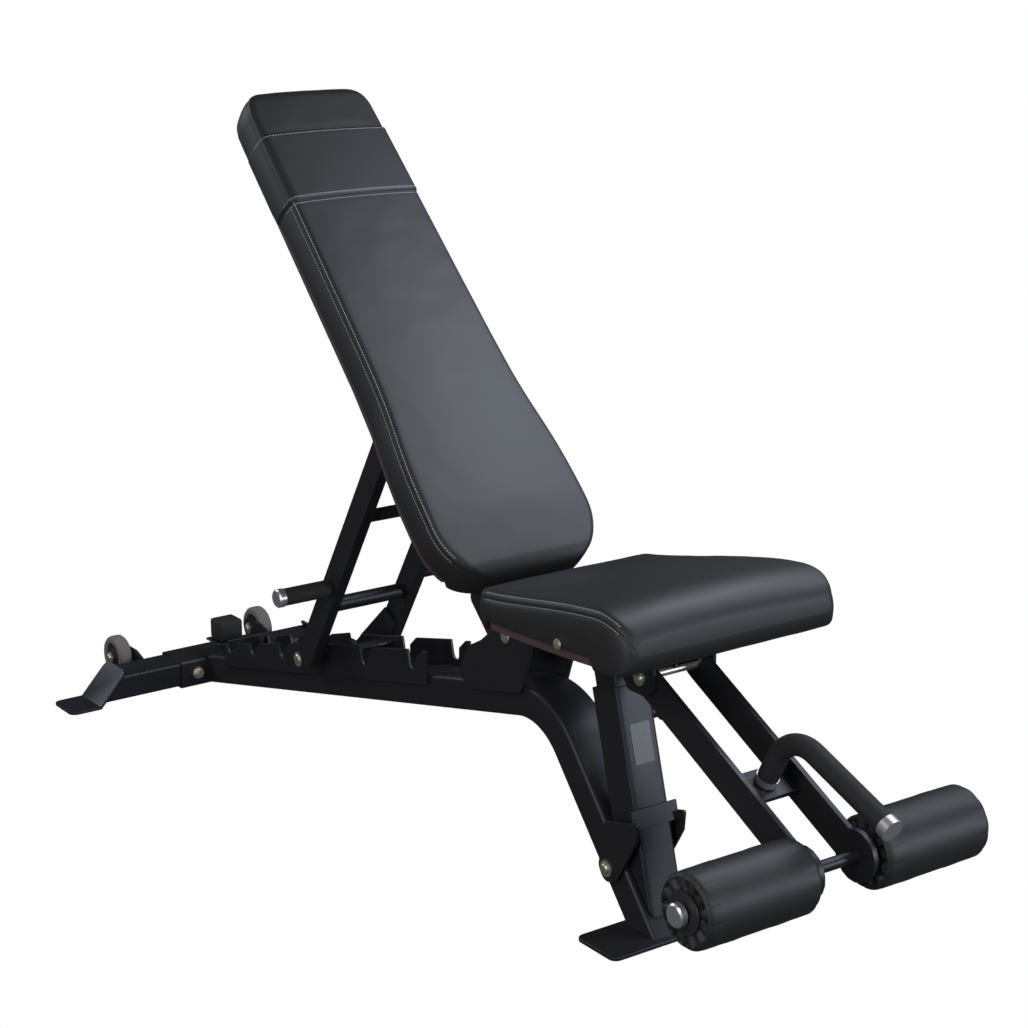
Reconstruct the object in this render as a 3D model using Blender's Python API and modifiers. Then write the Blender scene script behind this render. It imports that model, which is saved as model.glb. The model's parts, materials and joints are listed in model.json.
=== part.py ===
"""Adjustable weight bench: flat, incline and decline bench with a ladder back rest, a seat on a
swinging post and a leg hold-down. Metres, +Z up, +X towards the leg rollers, origin on the floor
under the middle of the bench."""

import math

import bmesh
import bpy
from mathutils import Matrix, Vector

# ---------------------------------------------------------------- driving dimensions
SHIFT_X = -0.0461  # moves the bench so that the origin is under the middle of its length
GAP = 0.0003  # between pieces that touch
WALL = 0.003  # steel tube

# main rail: one bent rectangular tube, 76 x 51, that slopes up and then down as the front leg
RAIL_W = 0.076
RAIL_D = 0.051
RAIL_REAR = (-0.7117, 0.0065)  # lower edge, rear end
RAIL_SLOPE = math.radians(13.47)
LEG_SLOPE = math.radians(-49.85)
RAIL_CORNER = (0.3045, 0.2499)  # where the two lower edges would meet
RAIL_INNER_R = 0.092
FLOOR_PLATE_T = 0.006

# rear stabiliser
REAR_X = -0.751  # centre line of the cross tube
LEG_TUBE = (0.070, 0.044)
SLEEVE = (0.078, 0.052)
SLEEVE_HALF = 0.091
TUBE_Z = 0.030
REAR_HALF = 0.310
REAR_BEND_Y = 0.252
REAR_CAP_Y = 0.197
REAR_CAP_Z = 0.060
WHEEL_CENTRE = (-0.857, 0.0395)
WHEEL_R = 0.038
WHEEL_Y = 0.147
WHEEL_W = 0.026

# ladder
LADDER_T = 0.005
LADDER_X = (-0.638, 0.016)
LADDER_LOW = 0.036  # above the rail's lower edge
LADDER_HIGH = (0.077, 0.092)
SLOTS = (-0.6156, -0.533, -0.430, -0.331, -0.1636, -0.0219)
SLOT_R = 0.0092
SLOT_BOTTOM = 0.0600
PIN_R = 0.008
PIN_SLOT = 3

# back rest, in its own plane: s runs up the pad and n out of its face
INCLINE = math.radians(45)
PIVOT = (0.230, 0.356)
PAD_S = (0.145, 1.058)
PAD_N = (0.4342, 0.5056)
BOARD_T = 0.0115
BAND_S = (0.832, 0.962)
STRUT_TOP = (-0.0292, 0.609)

# seat
SEAT_TILT = math.radians(6)
SEAT_REAR = (0.304, 0.413)
SEAT_LEN = 0.389
SEAT_PIVOT = (0.285, 0.385)
SEAT_HALF = (0.148, 0.183)

# seat post
POST_W = 0.060
POST_TOP = (0.4446, 0.337)
POST_LEAN = math.radians(15.5)
POST_BOLT = (0.476, 0.080)

# leg hold-down
ARM_TOP = (0.556, 0.390)
AXLE = (0.876, 0.222)
ARM_T = 0.008
ARM_Y = 0.042
ROLLER_R = 0.050
ROLLER_Y = (0.0565, 0.2400)
AXLE_R = 0.0085

COLOURS = {
    "powder": ((0.018, 0.018, 0.021, 1), 0.55, 0.3),
    "vinyl": ((0.012, 0.012, 0.014, 1), 0.42, 0.0),
    "board": ((0.05, 0.03, 0.03, 1), 0.8, 0.0),
    "rubber": ((0.02, 0.02, 0.022, 1), 0.7, 0.0),
    "tyre": ((0.20, 0.18, 0.17, 1), 0.7, 0.0),
    "zinc": ((0.62, 0.58, 0.50, 1), 0.35, 1.0),
    "aluminium": ((0.70, 0.70, 0.72, 1), 0.35, 1.0),
    "label": ((0.30, 0.30, 0.31, 1), 0.6, 0.0),
}


# ---------------------------------------------------------------- helpers
def clear():
    for obj in list(bpy.data.objects):
        bpy.data.objects.remove(obj, do_unlink=True)


def collection(name):
    made = bpy.data.collections.new(name)
    bpy.context.scene.collection.children.link(made)
    return made


def material(name):
    if name in bpy.data.materials:
        return bpy.data.materials[name]
    colour, roughness, metallic = COLOURS[name]
    made = bpy.data.materials.new(name)
    made.use_nodes = True
    shader = made.node_tree.nodes["Principled BSDF"]
    shader.inputs["Base Color"].default_value = colour
    shader.inputs["Roughness"].default_value = roughness
    shader.inputs["Metallic"].default_value = metallic
    return made


def put(obj, finish, cutter=False):
    """Moves an object to the bench's collection, or to the cutters'."""
    for old in list(obj.users_collection):
        old.objects.unlink(obj)
    (CUTTERS if cutter else BENCH).objects.link(obj)
    if cutter:
        obj.hide_render = True
        obj.display_type = "WIRE"
    else:
        obj.data.materials.clear()
        obj.data.materials.append(material(finish))
    return obj


def box(name, size, centre, turn=0.0, finish="powder", cutter=False, bevel=0.0):
    """A block; turn tilts it in the XZ plane, positive lifting its +X end."""
    bpy.ops.mesh.primitive_cube_add(size=1)
    obj = bpy.context.active_object
    obj.name = name
    obj.data.transform(Matrix.Diagonal((*size, 1)))
    obj.location = (centre[0] + SHIFT_X, centre[1], centre[2])
    obj.rotation_euler = (0, -turn, 0)
    if bevel:
        rounding = obj.modifiers.new("edges", "BEVEL")
        rounding.width = bevel
        rounding.segments = 2
    return put(obj, finish, cutter)


def rod(name, radius, start, end, finish="powder", sides=24, cutter=False, taper=1.0):
    """A cylinder from start to end."""
    a = Vector(start)
    b = Vector(end)
    bpy.ops.mesh.primitive_cone_add(
        vertices=sides, radius1=radius, radius2=radius * taper, depth=(b - a).length
    )
    obj = bpy.context.active_object
    obj.name = name
    obj.rotation_euler = (b - a).to_track_quat("Z", "X").to_euler()
    obj.location = (a + b) / 2 + Vector((SHIFT_X, 0, 0))
    obj.data.shade_smooth()
    obj.data.set_sharp_from_angle(angle=math.radians(40))
    return put(obj, finish, cutter)


def cross_rod(name, radius, place, y0, y1, **more):
    """A cylinder across the bench at (x, z)."""
    return rod(name, radius, (place[0], y0, place[1]), (place[0], y1, place[1]), **more)


def prism(name, rings, depth, frame, finish="powder", cutter=False):
    """Flat closed outlines, the first round the rest, extruded by depth to both sides of frame."""
    curve = bpy.data.curves.new(name, "CURVE")
    curve.dimensions = "2D"
    curve.fill_mode = "BOTH"
    curve.extrude = depth
    for ring in rings:
        spline = curve.splines.new("POLY")
        spline.points.add(len(ring) - 1)
        for point, place in zip(spline.points, ring):
            point.co = (place[0], place[1], 0, 1)
        spline.use_cyclic_u = True
    holder = bpy.data.objects.new(name + "_outline", curve)
    bpy.context.scene.collection.objects.link(holder)
    holder.matrix_world = frame
    bpy.context.view_layer.update()
    graph = bpy.context.evaluated_depsgraph_get()
    mesh = bpy.data.meshes.new_from_object(holder.evaluated_get(graph))
    mesh.name = name
    form = bmesh.new()
    form.from_mesh(mesh)
    bmesh.ops.remove_doubles(form, verts=form.verts, dist=1e-6)
    bmesh.ops.recalc_face_normals(form, faces=form.faces)
    form.to_mesh(mesh)
    form.free()
    obj = bpy.data.objects.new(name, mesh)
    obj.matrix_world = frame
    bpy.data.objects.remove(holder, do_unlink=True)
    return put(obj, finish, cutter)


def side_frame(y):
    """The upright plane at this y: outlines are drawn as (x, z)."""
    turn = Matrix.Rotation(math.radians(90), 4, "X")
    return Matrix.Translation((SHIFT_X, y, 0)) @ turn


def plate(name, rings, y0, y1, **more):
    """An upright plate between y0 and y1."""
    return prism(name, rings, abs(y1 - y0) / 2, side_frame((y0 + y1) / 2), **more)


def arc(centre, radius, start, end, steps=6):
    """Points on an arc, angles in degrees."""
    angles = [math.radians(start + (end - start) * i / steps) for i in range(steps + 1)]
    return [(centre[0] + radius * math.cos(a), centre[1] + radius * math.sin(a)) for a in angles]


def circle(centre, radius, steps=20):
    return arc(centre, radius, 0, 360, steps)[:-1]


def rounded(points, radii, steps=4):
    """A closed outline with each corner rounded by its own radius."""
    out = []
    count = len(points)
    for i, (point, radius) in enumerate(zip(points, radii)):
        corner = Vector(point)
        before = (Vector(points[i - 1]) - corner).normalized()
        after = (Vector(points[(i + 1) % count]) - corner).normalized()
        if radius <= 0:
            out.append(tuple(corner))
            continue
        half = before.angle(after) / 2
        start = corner + before * radius / math.tan(half)
        end = corner + after * radius / math.tan(half)
        centre = corner + (before + after).normalized() * radius / math.sin(half)
        a = start - centre
        turn = a.angle_signed(end - centre)
        for k in range(steps + 1):
            out.append(tuple(centre + Matrix.Rotation(-turn * k / steps, 2) @ a))
    return out


def boolean(obj, other, operation="DIFFERENCE"):
    step = obj.modifiers.new(other.name, "BOOLEAN")
    step.operation = operation
    step.object = other
    step.solver = "EXACT"
    return obj


def weld(obj, *others):
    """Joins welded pieces, which overlap it, into one body."""
    for other in others:
        boolean(obj, other, "UNION")
    return obj


def headed(name, radius, place, y0, y1, head, at0=True, at1=True, finish="zinc"):
    """A bolt across the bench, with a head of (radius, length) beyond either end."""
    sign = 1 if y1 > y0 else -1
    shank = cross_rod(name, radius, place, y0 - sign * 0.001 * at0, y1 + sign * 0.001 * at1,
                      finish=finish, sides=16)
    for on, y, way in ((at0, y0, -sign), (at1, y1, sign)):
        if on:
            end = cross_rod(name + "_head", head[0], place, y, y + way * head[1],
                            sides=20, cutter=True)
            weld(shank, end)
    return shank


def rect(w, d):
    return [(-w / 2, -d / 2), (w / 2, -d / 2), (w / 2, d / 2), (-w / 2, d / 2)]


def axis_frame(start, direction, across=(0, 1, 0)):
    """A frame at start whose Z is direction and whose Y is across."""
    z = Vector(direction).normalized()
    y = Vector(across)
    x = y.cross(z).normalized()
    turn = Matrix((x, y, z)).transposed().to_4x4()
    return Matrix.Translation(Vector(start) + Vector((SHIFT_X, 0, 0))) @ turn


def tube(name, width, depth, start, end, across=(0, 1, 0), wall=WALL, finish="powder"):
    """A hollow rectangular tube, width along across and open at both ends."""
    a = Vector(start)
    b = Vector(end)
    rings = [rect(depth, width), rect(depth - 2 * wall, width - 2 * wall)]
    frame = axis_frame((a + b) / 2, b - a, across)
    return prism(name, rings, (b - a).length / 2, frame, finish=finish)


def unit(angle):
    return Vector((math.cos(angle), math.sin(angle)))


def rail_low(x):
    """Height of the sloping rail's lower edge."""
    return RAIL_REAR[1] + (x - RAIL_REAR[0]) * math.tan(RAIL_SLOPE)


def mirrored(make):
    """Calls make for the right side, -Y, and for the left."""
    make("right", -1)
    make("left", 1)


# ---------------------------------------------------------------- base frame
def rail_outline(inset, past_ends):
    """The bent tube's side view, its walls moved in by inset and its ends moved out."""
    along = unit(RAIL_SLOPE)
    down = unit(LEG_SLOPE)
    up = Vector((-along.y, along.x))
    out = Vector((-down.y, down.x))
    corner = Vector(RAIL_CORNER)
    half_turn = (RAIL_SLOPE - LEG_SLOPE) / 2
    tangent = RAIL_INNER_R * math.tan(half_turn)
    centre = corner - along * tangent - up * RAIL_INNER_R
    low_r = RAIL_INNER_R + inset
    high_r = RAIL_INNER_R + RAIL_D - inset
    start = math.degrees(math.atan2(up.y, up.x))
    end = math.degrees(math.atan2(out.y, out.x))
    foot_z = FLOOR_PLATE_T + GAP - past_ends
    rear_x = RAIL_REAR[0] - past_ends

    def on_rear(radius):
        edge = centre + up * radius
        return edge + along * ((rear_x - edge.x) / along.x)

    def on_floor(radius):
        edge = centre + out * radius
        return edge + down * ((foot_z - edge.y) / down.y)

    low = [tuple(on_rear(low_r))] + arc(centre, low_r, start, end, 10) + [tuple(on_floor(low_r))]
    high = [tuple(on_rear(high_r))] + arc(centre, high_r, start, end, 10)
    high.append(tuple(on_floor(high_r)))
    return low + high[::-1]


def base_frame():
    half = RAIL_W / 2
    rail = plate("main_rail", [rail_outline(0, 0)], -half, half)
    hollow = plate("rail_hollow", [rail_outline(WALL, 0.02)], WALL - half, half - WALL, cutter=True)
    boolean(rail, hollow)
    foot = rounded([(0.500, -0.118), (0.588, -0.118), (0.588, 0.118), (0.500, 0.118)], [0.012] * 4)
    flat = Matrix.Translation((SHIFT_X, 0, FLOOR_PLATE_T / 2))
    prism("front_foot_plate", [foot], FLOOR_PLATE_T / 2, flat)

    w, d = SLEEVE
    start = (REAR_X, -SLEEVE_HALF, TUBE_Z)
    end = (REAR_X, SLEEVE_HALF, TUBE_Z)
    tube("crossbar_sleeve", w, d, start, end, across=(1, 0, 0))
    w, d = LEG_TUBE
    start = (REAR_X, -0.208, TUBE_Z)
    end = (REAR_X, 0.208, TUBE_Z)
    tube("rear_crossbar", w, d, start, end, across=(1, 0, 0))
    mirrored(rear_leg)
    mirrored(ladder_plate)
    mirrored(pivot_cheek)
    mirrored(wheel)
    low = rail_low(-0.23)
    top = low + 0.086
    width = 2 * half - 2 * GAP
    box("ladder_bridge", (0.060, width, 0.004), (-0.232, 0, top - 0.004), RAIL_SLOPE)
    box("ladder_rear_plate", (0.004, width, 0.030), (-0.634, 0, rail_low(-0.634) + 0.0685))
    bumper()


def rear_leg(side, sign):
    leg = bpy.data.objects["rear_crossbar"]
    # the outer end is cut back under the sloping foot
    slope = Vector((0, REAR_CAP_Y - REAR_BEND_Y, REAR_CAP_Z)).normalized()
    middle = Vector((REAR_X, sign * REAR_BEND_Y, 0))
    away = Vector((0, sign * slope.z, -slope.y))
    place = middle + away * 0.0497
    cut = box("leg_cut_" + side, (0.2, 0.4, 0.1), place, cutter=True)
    cut.rotation_euler = (math.atan2(slope.z, sign * slope.y), 0, 0)
    boolean(leg, cut)
    rear_foot(side, sign)
    face = sign * (SLEEVE_HALF - 0.032)
    x = REAR_X + SLEEVE[0] / 2 + GAP
    bolt = rod("sleeve_bolt_" + side, 0.011, (x, face, TUBE_Z), (x + 0.0025, face, TUBE_Z),
               finish="zinc")
    head = rod("sleeve_bolt_head_" + side, 0.0075, (x + 0.001, face, TUBE_Z),
               (x + 0.0105, face, TUBE_Z), sides=6, cutter=True)
    weld(bolt, head)


def rear_foot(side, sign):
    """A bent plate: a tongue on the floor and a slope that closes the end of the leg tube."""
    t = 0.005
    slope = Vector((REAR_CAP_Y - REAR_BEND_Y, REAR_CAP_Z)).normalized()
    inward = Vector((-slope.y, slope.x))
    bend = Vector((REAR_BEND_Y, 0))
    top = bend + slope * 0.080
    half_angle = math.atan2(slope.y, -slope.x) / 2
    lift = t * math.tan(half_angle)
    ring = [
        (REAR_HALF, 0), (REAR_HALF, t), (bend.x + lift, t), tuple(top - inward * t),
        tuple(top), (bend.x, 0),
    ]
    ring = [(sign * a, b) for a, b in ring]
    frame = axis_frame((REAR_X, 0, 0), (-1, 0, 0), (0, 0, 1))
    prism("rear_foot_" + side, [ring], 0.039, frame)


def ladder_plate(side, sign):
    """A toothed plate on each side of the rail. Each slot has a straight rear wall and a rounded
    lead-in ahead of it."""
    along = unit(RAIL_SLOPE)
    up = Vector((-along.y, along.x))
    x0, x1 = LADDER_X

    def high(x):
        share = min(1.0, max(0.0, (x - x0) / 0.30))
        return rail_low(x) + LADDER_HIGH[0] + (LADDER_HIGH[1] - LADDER_HIGH[0]) * share

    ring = [(x0, rail_low(x0) + LADDER_LOW), (x1, rail_low(x1) + LADDER_LOW), (x1, high(x1))]
    for x in reversed(SLOTS):
        low = Vector((x, rail_low(x) + SLOT_BOTTOM + SLOT_R / math.cos(RAIL_SLOPE)))
        front = low + along * SLOT_R
        rear = low - along * SLOT_R
        lead = front + along * 0.014
        ring.append((lead.x + 0.004, high(lead.x + 0.004)))
        wall = high(front.x) - front.y
        ring += [tuple(front + up * (wall - 0.012) + along * 0.003)]
        ring += [tuple(low + along * SLOT_R * math.cos(a) - up * SLOT_R * math.sin(a))
                 for a in (math.pi * k / 6 for k in range(7))]
        top = high(rear.x)
        ring.append(tuple(rear + up * (top - rear.y) / up.y))
    ring.append((x0, high(x0)))
    inner = sign * (RAIL_W / 2 + GAP)
    plate("ladder_plate_" + side, [ring], inner, inner + sign * LADDER_T)


def pivot_cheek(side, sign):
    """The upright plate on each side of the rail that carries the back and seat pivots."""
    ring = rounded(
        [(0.113, 0.262), (0.133, 0.246), (0.266, 0.278), (0.306, 0.392), (0.283, 0.405),
         (0.222, 0.378), (0.166, 0.333), (0.137, 0.317), (0.114, 0.280)],
        [0.004, 0.008, 0.006, 0.012, 0.010, 0.014, 0.010, 0.008, 0.008],
    )
    inner = sign * (RAIL_W / 2 + GAP)
    holes = [circle(PIVOT, 0.0103), circle(SEAT_PIVOT, 0.0063)]
    plate("pivot_cheek_" + side, [ring] + holes, inner, inner + sign * 0.006)


def wheel(side, sign):
    x, z = WHEEL_CENTRE
    y = sign * WHEEL_Y
    inner = y - sign * WHEEL_W / 2
    outer = y + sign * WHEEL_W / 2
    tyre = cross_rod("rear_wheel_" + side, WHEEL_R, (x, z), inner, outer, finish="tyre", sides=36)
    tyre_cut = cross_rod("wheel_bore_" + side, 0.0063, (x, z), inner - sign * 0.01,
                         outer + sign * 0.01, sides=16, cutter=True)
    boolean(tyre, tyre_cut)
    edge = tyre.modifiers.new("edges", "BEVEL")
    edge.width = 0.003
    edge.segments = 2
    edge.limit_method = "ANGLE"
    edge.angle_limit = math.radians(60)
    plate_in = inner - sign * 0.006
    ring = [(-0.7905, 0.012), (-0.7905, 0.050), (-0.815, 0.058)]
    ring += arc((x, z), 0.020, 70, 250, 8) + [(-0.815, 0.014)]
    plate("wheel_bracket_" + side, [ring, circle((x, z), 0.0063, 16)], plate_in,
          plate_in + sign * 0.005)
    headed("wheel_axle_" + side, 0.006, (x, z), plate_in - sign * GAP, outer + sign * 0.002,
           (0.0105, 0.006))


def bumper():
    """A rubber block on a flanged post at the rear of the rail."""
    x = -0.708
    seat = 0.0645  # clears the rail's top at its rear end
    column = tube("bumper_post", 0.034, 0.034, (x, 0, seat), (x, 0, 0.083))
    weld(column, box("bumper_flange", (0.052, 0.058, 0.004), (x, 0, 0.0833), cutter=True))
    box("bumper_block", (0.042, 0.046, 0.038), (x, 0, 0.1046), finish="rubber", bevel=0.005)


# ---------------------------------------------------------------- back rest
def back_frame(n=0.0):
    """The pad's plane at height n: outlines are drawn as (y, s)."""
    up = Vector((-math.cos(INCLINE), 0, math.sin(INCLINE)))
    out = Vector((math.sin(INCLINE), 0, math.cos(INCLINE)))
    across = Vector((0, 1, 0))
    turn = Matrix((across, up, out)).transposed().to_4x4()
    return Matrix.Translation(Vector((SHIFT_X, 0, 0)) + out * n) @ turn


def back_side_frame(y):
    """The upright plane at this y: outlines are drawn as (s, n) of the back rest."""
    up = Vector((-math.cos(INCLINE), 0, math.sin(INCLINE)))
    out = Vector((math.sin(INCLINE), 0, math.cos(INCLINE)))
    turn = Matrix((up, out, up.cross(out))).transposed().to_4x4()
    return Matrix.Translation((SHIFT_X, y, 0)) @ turn


def back_half_width(s):
    """Half the pad's width: widest above its foot, drawn in at the waist, narrow at the head."""
    t = (s - PAD_S[0]) / (PAD_S[1] - PAD_S[0])
    flare = 0.0220 / (1 + math.exp((t - 0.28) / 0.045))
    taper = 0.1210 - 0.0090 * max(0.0, (t - 0.42) / 0.58)
    corner_low = max(0.0, 0.098 - (s - PAD_S[0]))
    corner_high = max(0.0, 0.052 - (PAD_S[1] - s))
    bite = 0.098 - math.sqrt(max(0.0, 0.098**2 - corner_low**2))
    bite += 0.052 - math.sqrt(max(0.0, 0.052**2 - corner_high**2))
    return taper + flare - bite


def back_outline(inset, low, high, steps=28):
    ends = [low + (high - low) * 0.5 * (1 - math.cos(math.pi * i / steps)) for i in range(steps + 1)]
    half = [(max(0.02, back_half_width(s) - inset), s) for s in ends]
    return half + [(-y, s) for y, s in reversed(half)]


def back_rest():
    s0, s1 = PAD_S
    n0, n1 = PAD_N
    r = (n1 - n0) / 2
    step = n0 + BOARD_T + GAP
    side = arc((s0 + r, n0 + r), r, 90, 270, 10) + [(s0 + r + 0.004, n0), (s0 + r + 0.004, step)]
    side += [(s1 - 0.035, step), (s1 - 0.035, n0)]
    side += arc((s1 - 0.022, n0 + 0.022), 0.022, 270, 360, 5)
    side += arc((s1 - 0.028, n1 - 0.028), 0.028, 0, 90, 6)
    pad = prism("back_pad", [side], 0.16, back_side_frame(0), finish="vinyl")
    plan = back_outline(0, s0 + 0.0002, s1 - 0.0002)
    form = prism("back_plan", [plan], 0.2, back_frame((n0 + n1) / 2), cutter=True)
    boolean(pad, form, "INTERSECT")
    outline = back_outline(0.005, s0 + r + 0.0045, s1 - 0.0355, 16)
    middle = n0 + BOARD_T / 2
    prism("back_board", [outline], BOARD_T / 2, back_frame(middle), finish="board")
    headrest_band()

    # spine under the board, its lower end closed in by two pivot plates
    depth = 0.030
    n = n0 - GAP - depth / 2
    up = Vector((-math.cos(INCLINE), 0, math.sin(INCLINE)))
    out = Vector((math.sin(INCLINE), 0, math.cos(INCLINE)))
    start = up * 0.150 + out * n
    end = up * 0.600 + out * n
    tube("back_spine", 0.050, depth, start, end)
    mirrored(back_pivot_plate)
    spine = bpy.data.objects["back_spine"]
    bore = cross_rod("spine_bore", 0.0063, STRUT_TOP, -0.04, 0.04, sides=16, cutter=True)
    boolean(spine, bore)


def headrest_band():
    """A second layer of vinyl sewn round the head of the pad."""
    low, high = BAND_S

    def ring(more):
        a = back_half_width(low) + more
        b = back_half_width(high) + more
        return [(-a, low), (a, low), (b, high), (-b, high)]

    n0, n1 = PAD_N
    band = prism("headrest_band", [ring(0.0028)], (n1 - n0 - 0.002) / 2 + 0.0014,
                 back_frame((n0 + n1) / 2 + 0.0024), finish="vinyl")
    wide = [(y * 1.0, s + (0.05 if s == high else -0.05)) for y, s in ring(GAP + 0.0012)]
    hollow = prism("band_hollow", [wide], (n1 - n0) / 2 + 0.01,
                   back_frame((n0 + n1) / 2 - 0.01 + GAP), cutter=True)
    boolean(band, hollow)


def back_pivot_plate(side, sign):
    """A plate on each side of the spine's lower end, on the main axle."""
    s = (PIVOT[1] - PIVOT[0]) / math.sqrt(2)
    n = (PIVOT[0] + PIVOT[1]) / math.sqrt(2)
    ring = rounded([(0.230, 0.4335), (0.150, 0.4335), (0.062, 0.4335), (0.062, 0.388),
                    (0.085, 0.354), (0.185, 0.354), (0.230, 0.400)],
                   [0.004, 0.0, 0.010, 0.016, 0.016, 0.012, 0.006])
    y = sign * 0.0270
    ear = prism("back_pivot_plate_" + side, [ring, circle((s, n), 0.0103)], 0.0025,
                back_side_frame(y), cutter=True)
    weld(bpy.data.objects["back_spine"], ear)


# ---------------------------------------------------------------- strut
def strut():
    top = Vector(STRUT_TOP)
    along = unit(math.radians(239.0))
    back = Vector((along.y, -along.x))
    pin = Vector((SLOTS[PIN_SLOT], rail_low(SLOTS[PIN_SLOT]) + SLOT_BOTTOM + SLOT_R / math.cos(RAIL_SLOPE)))
    pin.y -= SLOT_R - PIN_R - GAP

    def at(distance, y=0.0, aside=0.0):
        p = top + along * distance + back * aside
        return Vector((p.x, y, p.y))

    for side, sign in (("right", -1), ("left", 1)):
        y = sign * 0.0760
        bar = tube("strut_bar_" + side, 0.018, 0.040, at(-0.010, y), at(0.500, y), wall=0.002)
        notch = cross_rod("bar_notch_" + side, 0.0063, STRUT_TOP, sign * 0.05, sign * 0.1,
                          sides=16, cutter=True)
        boolean(bar, notch)
        inner = sign * (0.067 - GAP)
        lug = [tuple(top + along * 0.430 + back * 0.018), tuple(top + along * 0.430 - back * 0.018),
               tuple(top + along * 0.505 - back * 0.018)]
        lug += arc(pin, 0.019, 330, 130, 8)
        foot = plate("strut_foot_" + side, [lug], inner + sign * 0.001, inner - sign * 0.005,
                     cutter=True)
        weld(bar, foot)
        bar_cut = cross_rod("foot_cut_" + side, 0.0135, pin, inner + sign * 0.001, sign * 0.1,
                            cutter=True)
        boolean(bar, bar_cut)
        pin_cut = cross_rod("pin_cut_" + side, PIN_R + GAP, pin, sign * 0.04, sign * 0.1,
                            sides=16, cutter=True)
        boolean(bar, pin_cut)
        headed("ladder_pin_" + side, PIN_R, pin, sign * 0.0438, inner + sign * 0.002,
               (0.0125, 0.004), at0=False)
        grip_in = sign * (0.085 + GAP)
        cross_rod("strut_grip_" + side, 0.0140, (at(0.328).x, at(0.328).z), grip_in,
                  grip_in + sign * 0.083, finish="rubber")
        cap_in = grip_in + sign * (0.083 + GAP)
        cross_rod("strut_grip_cap_" + side, 0.0150, (at(0.328).x, at(0.328).z), cap_in,
                  cap_in + sign * 0.014, finish="aluminium")
    inner = 0.067 - 2 * GAP
    high = at(0.172)
    box("strut_crossbar", (0.006, 2 * inner, 0.026), (high.x, 0, high.z), math.radians(-31))
    low = at(0.372)
    cross_rod("strut_cross_tube", 0.0125, (low.x, low.z), -inner, inner)
    cross_rod("strut_top_pin", 0.006, STRUT_TOP, -0.092, 0.092, finish="zinc", sides=16)


# ---------------------------------------------------------------- seat
def seat_point(u, w):
    """u runs forward along the seat's underside and w up from it."""
    c, s = math.cos(SEAT_TILT), math.sin(SEAT_TILT)
    return (SEAT_REAR[0] + u * c - w * s, SEAT_REAR[1] + u * s + w * c)


def seat_frame(w=0.0):
    """The seat's plane at height w: outlines are drawn as (y, u)."""
    x, z = seat_point(0, w)
    along = Vector((math.cos(SEAT_TILT), 0, math.sin(SEAT_TILT)))
    up = Vector((-math.sin(SEAT_TILT), 0, math.cos(SEAT_TILT)))
    turn = Matrix((Vector((0, -1, 0)), along, up)).transposed().to_4x4()
    return Matrix.Translation((x + SHIFT_X, 0, z)) @ turn


def seat_half_width(u):
    t = u / SEAT_LEN
    wide = SEAT_HALF[0] + (SEAT_HALF[1] - SEAT_HALF[0]) * math.sin(math.pi / 2 * min(1, t * 1.08))
    rear = max(0.0, 0.030 - u)
    front = max(0.0, 0.040 - (SEAT_LEN - u))
    bite = 0.030 - math.sqrt(max(0.0, 0.030**2 - rear**2))
    bite += (0.040 - math.sqrt(max(0.0, 0.040**2 - front**2))) * 0.6
    return wide - bite


def seat():
    side = [seat_point(u, w) for u, w in arc((0.0290, 0.0310), 0.0290, 90, 270, 8)]
    side += [seat_point(u, w) for u, w in
             [(0.032, 0.002), (0.032, 0.0123), (0.306, 0.0123), (0.306, -0.003)]]
    side += [seat_point(u, w) for u, w in arc((0.359, 0.025), 0.030, 265, 360, 6)]
    side += [seat_point(u, w) for u, w in arc((0.346, 0.037), 0.043, 0, 90, 6)]
    side += [seat_point(0.20, 0.073)]
    pad = plate("seat_pad", [side], -0.2, 0.2, finish="vinyl")
    steps = 24
    ends = [0.0002 + (SEAT_LEN - 0.0004) * 0.5 * (1 - math.cos(math.pi * i / steps))
            for i in range(steps + 1)]
    half = [(seat_half_width(u), u) for u in ends]
    plan = half + [(-y, u) for y, u in reversed(half)]
    form = prism("seat_plan", [plan], 0.2, seat_frame(0.03), cutter=True)
    boolean(pad, form, "INTERSECT")
    inset = [(seat_half_width(u) - 0.006, u) for u in (0.0335, 0.08, 0.14, 0.20, 0.26, 0.305)]
    board = inset + [(-y, u) for y, u in reversed(inset)]
    prism("seat_board", [board], 0.006, seat_frame(0.006), finish="board")

    # tube under the board, from the rear pivot to the front bracket
    depth = 0.036
    a = seat_point(0.030, -depth / 2 - GAP)
    b = seat_point(0.285, -depth / 2 - GAP)
    frame = tube("seat_frame", 0.044, depth, (a[0], 0, a[1]), (b[0], 0, b[1]))
    for side, sign in (("right", -1), ("left", 1)):
        weld(frame, seat_ear(side, sign))
    bar = seat_point(0.262, -0.0115)
    cross = box("seat_cross", (0.040, 0.108, 0.022), (bar[0], 0, bar[1]), SEAT_TILT, cutter=True)
    weld(frame, cross)
    for side, sign in (("right", -1), ("left", 1)):
        weld(frame, seat_bracket(side, sign))


def seat_ear(side, sign):
    """The ear on each side of the seat tube's rear end, on the seat pivot bolt."""
    a = seat_point(0.060, -GAP - 0.001)
    ring = [a, seat_point(0.060, -0.036), tuple(Vector(SEAT_PIVOT) + Vector((0.010, -0.012)))]
    ring += arc(SEAT_PIVOT, 0.0135, 290, 110, 8)
    ring += [seat_point(0.010, -0.0013)]
    y = sign * 0.0212
    rings = [ring, circle(SEAT_PIVOT, 0.0063, 16)]
    return plate("seat_ear_" + side, rings, y, y + sign * 0.004, cutter=True)


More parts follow.
